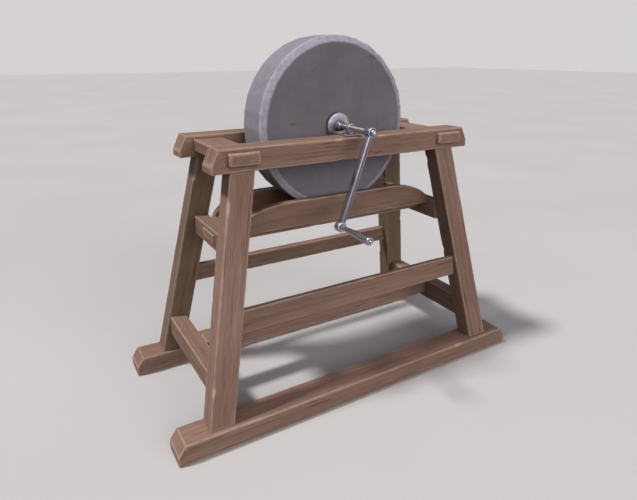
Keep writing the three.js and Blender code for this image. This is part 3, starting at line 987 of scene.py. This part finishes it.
def make_hub_nut(node, outward):
    """A drum that closes in a dome round the shaft."""
    near, far = sorted(y_range(node), key=lambda y: y * outward)
    bore = SHAFT["radius"] + BORE_GAP
    outline = [(bore, near), (HUB_NUT["radius"], near)]
    last = math.acos(bore / HUB_NUT["radius"])
    rise = abs(far - near) - HUB_NUT["flat"]
    for step in range(9):
        angle = last * step / 8
        y = near + outward * (HUB_NUT["flat"] + rise * math.sin(angle) / math.sin(last))
        outline.append((HUB_NUT["radius"] * math.cos(angle), y))
    piece = put(revolve(node + "_turned", rounded(outline, 0.6 * MM)))
    settle(piece, node, "rotor", STEEL)


def make_collar(node):
    low, high = y_range(node)
    outer = (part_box(node)[1].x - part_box(node)[0].x) / 2
    bore = SHAFT["radius"] + BORE_GAP
    outline = [(bore, low), (outer, low), (outer, high), (bore, high)]
    piece = put(revolve(node + "_turned", rounded(outline, 1.2 * MM)))
    settle(piece, node, "rotor", STEEL)


make_shaft()
for end, outward in (("front", -1), ("rear", 1)):
    make_flange(f"flange_{end}", outward)
    make_hub_nut(f"hub_nut_{end}", outward)
for which in ("inner", "outer"):
    make_collar(f"shaft_collar_{which}")

# ---------------- bearings

BEARING = {
    "width": 14 * MM,
    "ring": 13.5 * MM,
    "bore": 9.4 * MM,
    "plate_length": 46 * MM,
    "plate_width": 24 * MM,
    "plate": 4 * MM,
    "neck": 17 * MM,
}
NECK_INSET = 0.6 * MM  # the neck is this much thinner than the eye on each side
SCREW_SLOT = {"width": 0.9 * MM, "depth": 1.1 * MM}
SCREW_RIM = 0.35  # the height of the head's straight rim, as a share of the head's


def soft_block(name, low, high, bevel):
    """A metal box with bevelled arrises, marked as worn there."""
    shaped = bmesh.new()
    bmesh.ops.create_cube(shaped, size=1)
    low, high = Vector(low), Vector(high)
    middle, size = (low + high) / 2, high - low
    for v in shaped.verts:
        v.co = Vector(v.co[i] * size[i] + middle[i] for i in range(3))
    bmesh.ops.bevel(shaped, geom=shaped.edges, offset=bevel, segments=3, profile=0.5, affect="EDGES")
    points = [v.co.copy() for v in shaped.verts]
    faces = [tuple(v.index for v in f.verts) for f in shaped.faces]
    shaped.free()
    return object_from(name, points, faces, points, [1.0] * len(points))


def make_bearing(node):
    """An iron eye on a neck and a flat foot."""
    low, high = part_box(node)
    middle = (low.y + high.y) / 2
    y0, y1 = middle - BEARING["width"] / 2, middle + BEARING["width"] / 2
    ring = [(BEARING["bore"], y0), (BEARING["ring"], y0), (BEARING["ring"], y1), (BEARING["bore"], y1)]
    piece = put(revolve(node + "_cast", rounded(ring, 1.4 * MM)))
    neck = BEARING["neck"] / 2
    neck_top = AXIS_Z - BEARING["bore"] - 1.2 * MM
    upright = soft_block(
        "neck",
        (-neck, y0 + NECK_INSET, low.z + 1 * MM),
        (neck, y1 - NECK_INSET, neck_top),
        1 * MM,
    )
    half, wide = BEARING["plate_length"] / 2, BEARING["plate_width"] / 2
    plate = soft_block(
        "plate",
        (-half, middle - wide, low.z),
        (half, middle + wide, low.z + BEARING["plate"]),
        1.1 * MM,
    )
    combine(piece, upright, "UNION")
    combine(piece, plate, "UNION")
    settle(piece, node, "stand", IRON)


def make_screw(node):
    """A low round head with a slot."""
    low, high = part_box(node)
    radius, height = (high.x - low.x) / 2, high.z - low.z
    outline = [(0, 0), (radius, 0), (radius, height * SCREW_RIM)]
    for angle in (0.4, 0.8, 1.15):
        rise = SCREW_RIM + (1 - SCREW_RIM) * math.sin(angle)
        outline.append((radius * math.cos(angle), height * rise))
    outline += [(0, height)]
    piece = revolve(node + "_head", solid_outline(outline, 0.3 * MM), 40)
    turn = dice(node).uniform(0, math.pi)
    slot = soft_block(
        "slot",
        (-radius * 1.5, height - SCREW_SLOT["depth"], -SCREW_SLOT["width"] / 2),
        (radius * 1.5, height * 2, SCREW_SLOT["width"] / 2),
        0.05 * MM,
    )
    combine(piece, slot, "DIFFERENCE")
    middle = (low + high) / 2
    stand_up = Matrix.Rotation(turn, 4, "Z") @ Matrix.Rotation(math.pi / 2, 4, "X")
    piece.data.transform(Matrix.Translation((middle.x, middle.y, low.z)) @ stand_up)
    settle(piece, node, "stand", IRON)


for end in ("front", "rear"):
    make_bearing(f"bearing_{end}")
    for side in ("left", "right"):
        make_screw(f"bearing_screw_{end}_{side}")

# ---------------- crank

CRANK = {
    "bar_width": 14 * MM,
    "bar_depth": 19 * MM,
    "eye": 14 * MM,
    "grip_eye": 15 * MM,
    "grip_eye_depth": 20 * MM,
    "pin_bore": 3.8 * MM,
}
CRANK_NUT = {"radius": 9.5 * MM, "flat": 4 * MM}
PIN = {
    "radius": 3.5 * MM,
    "head": 7.5 * MM,
    "head_length": 4 * MM,
    "knob": 5.2 * MM,
    "knob_length": 7 * MM,
}
# The sleeve tapers to its full thickness at "full" from its free end, and its last stretch is chamfered.
GRIP = {
    "thin": 5.6 * MM,
    "thick": 12 * MM,
    "bore": 4.0 * MM,
    "full": 7 * MM,
    "chamfer_run": 3 * MM,
    "chamfer_drop": 2.5 * MM,
    "swell": 0.85,
}


def make_crank_arm():
    """A bar with an eye at each end, made hanging straight down and then leaned."""
    front, back = y_range("crank_arm")
    middle = (front + back) / 2
    bore = SHAFT["radius"] + BORE_GAP
    eye = [(bore, front), (CRANK["eye"], front), (CRANK["eye"], back), (bore, back)]
    piece = revolve("crank_arm_forged", rounded(eye, 1.8 * MM))
    half = CRANK["grip_eye_depth"] / 2
    hole, outer = CRANK["pin_bore"], CRANK["grip_eye"]
    lower = [(hole, middle - half), (outer, middle - half), (outer, middle + half), (hole, middle + half)]
    grip_eye = revolve("grip_eye", rounded(lower, 1.8 * MM), centre=(0, 0, -THROW))
    wide, deep = CRANK["bar_width"] / 2, CRANK["bar_depth"] / 2
    bar = soft_block(
        "bar",
        (-wide, middle - deep, -THROW + CRANK["grip_eye"] - 4 * MM),
        (wide, middle + deep, -CRANK["eye"] + 3 * MM),
        2.6 * MM,
    )
    combine(piece, grip_eye, "UNION")
    combine(piece, bar, "UNION")
    settle(put(piece, LEAN), "crank_arm", "rotor", STEEL)


def make_crank_nut():
    """A drum closed by a dome, with a blind bore over the shaft's end."""
    front, back = y_range("crank_nut")
    bore = SHAFT["end"] + BORE_GAP
    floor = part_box("shaft")[0].y - BORE_GAP
    outline = [(bore, back), (CRANK_NUT["radius"], back)]
    start = back - CRANK_NUT["flat"]
    for step in range(8):
        angle = math.pi / 2 * step / 8
        y = start + (front - start) * math.sin(angle)
        outline.append((CRANK_NUT["radius"] * math.cos(angle), y))
    outline += [(0, front), (0, floor), (bore, floor)]
    piece = put(revolve("crank_nut_turned", solid_outline(outline, 0.5 * MM)), LEAN)
    settle(piece, "crank_nut", "rotor", STEEL)


def make_pin():
    front, back = y_range("handle_pin")
    knob = front + PIN["knob_length"]
    head = back - PIN["head_length"]
    outline = [
        (0, back),
        (PIN["head"], back),
        (PIN["head"], head),
        (PIN["radius"], head),
        (PIN["radius"], knob),
        (PIN["knob"], knob),
        (PIN["knob"], front + PIN["knob_length"] * 0.45),
        (PIN["knob"] * 0.62, front),
        (0, front),
    ]
    piece = revolve("handle_pin_turned", solid_outline(outline, 0.9 * MM), centre=(0, 0, -THROW))
    settle(put(piece, LEAN), "handle_pin", "rotor", STEEL)


def make_grip():
    """A tapered sleeve, thick at its free end."""
    front, back = y_range("handle_grip")
    outline = [(GRIP["bore"], back), (GRIP["thin"], back)]
    for step in range(1, 9):
        share = step / 9
        radius = GRIP["thin"] + (GRIP["thick"] - GRIP["thin"]) * share ** GRIP["swell"]
        outline.append((radius, back + (front + GRIP["full"] - back) * share))
    outline += [
        (GRIP["thick"], front + GRIP["full"]),
        (GRIP["thick"], front + GRIP["chamfer_run"]),
        (GRIP["thick"] - GRIP["chamfer_drop"], front),
        (GRIP["bore"], front),
    ]
    piece = revolve("handle_grip_turned", rounded(outline, 1.2 * MM), centre=(0, 0, -THROW))
    settle(put(piece, LEAN), "handle_grip", "grip", STEEL)


make_crank_arm()
make_crank_nut()
make_pin()
make_grip()

# ---------------- stage


FLOOR_HALF = 30


def make_floor():
    mesh = bpy.data.meshes.new("floor")
    turns = ((-1, -1), (1, -1), (1, 1), (-1, 1))
    corners = [(x * FLOOR_HALF, y * FLOOR_HALF, 0) for x, y in turns]
    mesh.from_pydata(corners, [], [(0, 1, 2, 3)])
    mesh.materials.append(floor_material())
    floor = bpy.data.objects.new("floor", mesh)
    floor.visible_diffuse = False
    bpy.context.scene.collection.objects.link(floor)


def area_light(name, place, target, size, power, color):
    """A rectangular light that faces its target."""
    data = bpy.data.lights.new(name, "AREA")
    data.shape = "RECTANGLE"
    data.size, data.size_y = size
    data.energy = power
    data.color = color
    light = bpy.data.objects.new(name, data)
    light.location = place
    light.rotation_euler = (Vector(target) - Vector(place)).to_track_quat("-Z", "Y").to_euler()
    bpy.context.scene.collection.objects.link(light)


def sun(name, towards, strength, spread, color):
    """A soft distant light that comes from the given direction."""
    data = bpy.data.lights.new(name, "SUN")
    data.energy = strength
    data.angle = math.radians(spread)
    data.color = color
    light = bpy.data.objects.new(name, data)
    light.rotation_euler = Vector(towards).to_track_quat("Z", "Y").to_euler()
    bpy.context.scene.collection.objects.link(light)


# The sky's colours, and the heights between which the lower one turns into the upper one.
WORLD = {
    "above": (0.23, 0.225, 0.25),
    "below": (0.06, 0.055, 0.052),
    "seen": (0.668, 0.642, 0.642),
    "fade_from": -0.15,
    "fade_to": 0.25,
}


def make_world():
    """A soft sky, darker below the horizon, that looks as pale as the floor to the camera."""
    world = bpy.data.worlds.new("studio")
    world.use_nodes = True
    tree = world.node_tree
    direction = tree.nodes.new("ShaderNodeTexCoord").outputs["Generated"]
    split = tree.nodes.new("ShaderNodeSeparateXYZ")
    tree.links.new(direction, split.inputs["Vector"])
    sky = tree.nodes.new("ShaderNodeMapRange")
    tree.links.new(split.outputs["Z"], sky.inputs["Value"])
    sky.inputs["From Min"].default_value = WORLD["fade_from"]
    sky.inputs["From Max"].default_value = WORLD["fade_to"]
    shade = tree.nodes.new("ShaderNodeMix")
    shade.data_type = "RGBA"
    tree.links.new(sky.outputs["Result"], shade.inputs[MIX_AMOUNT])
    shade.inputs[MIX_FIRST].default_value = (*WORLD["below"], 1)
    shade.inputs[MIX_SECOND].default_value = (*WORLD["above"], 1)
    seen = tree.nodes.new("ShaderNodeMix")
    seen.data_type = "RGBA"
    to_camera = tree.nodes.new("ShaderNodeLightPath").outputs["Is Camera Ray"]
    tree.links.new(to_camera, seen.inputs[MIX_AMOUNT])
    tree.links.new(shade.outputs[MIX_RESULT], seen.inputs[MIX_FIRST])
    seen.inputs[MIX_SECOND].default_value = (*WORLD["seen"], 1)
    tree.links.new(seen.outputs[MIX_RESULT], tree.nodes["Background"].inputs["Color"])
    bpy.context.scene.world = world


def make_lights():
    sun("key", towards=(-0.6, 0.16, 1.0), strength=2.9, spread=8, color=(1.0, 0.97, 0.95))
    sun("fill", towards=(0.15, -1.0, 0.3), strength=1.75, spread=50, color=(1.0, 0.955, 0.95))
    area_light(
        "softbox",
        place=(-2.2, -2.6, 2.6),
        target=(0, 0, 0.7),
        size=(1.8, 1.8),
        power=14,
        color=(1.0, 0.99, 0.98),
    )
    make_world()
    bpy.context.scene.view_settings.view_transform = "Standard"


make_floor()
make_lights()

bpy.context.view_layer.update()
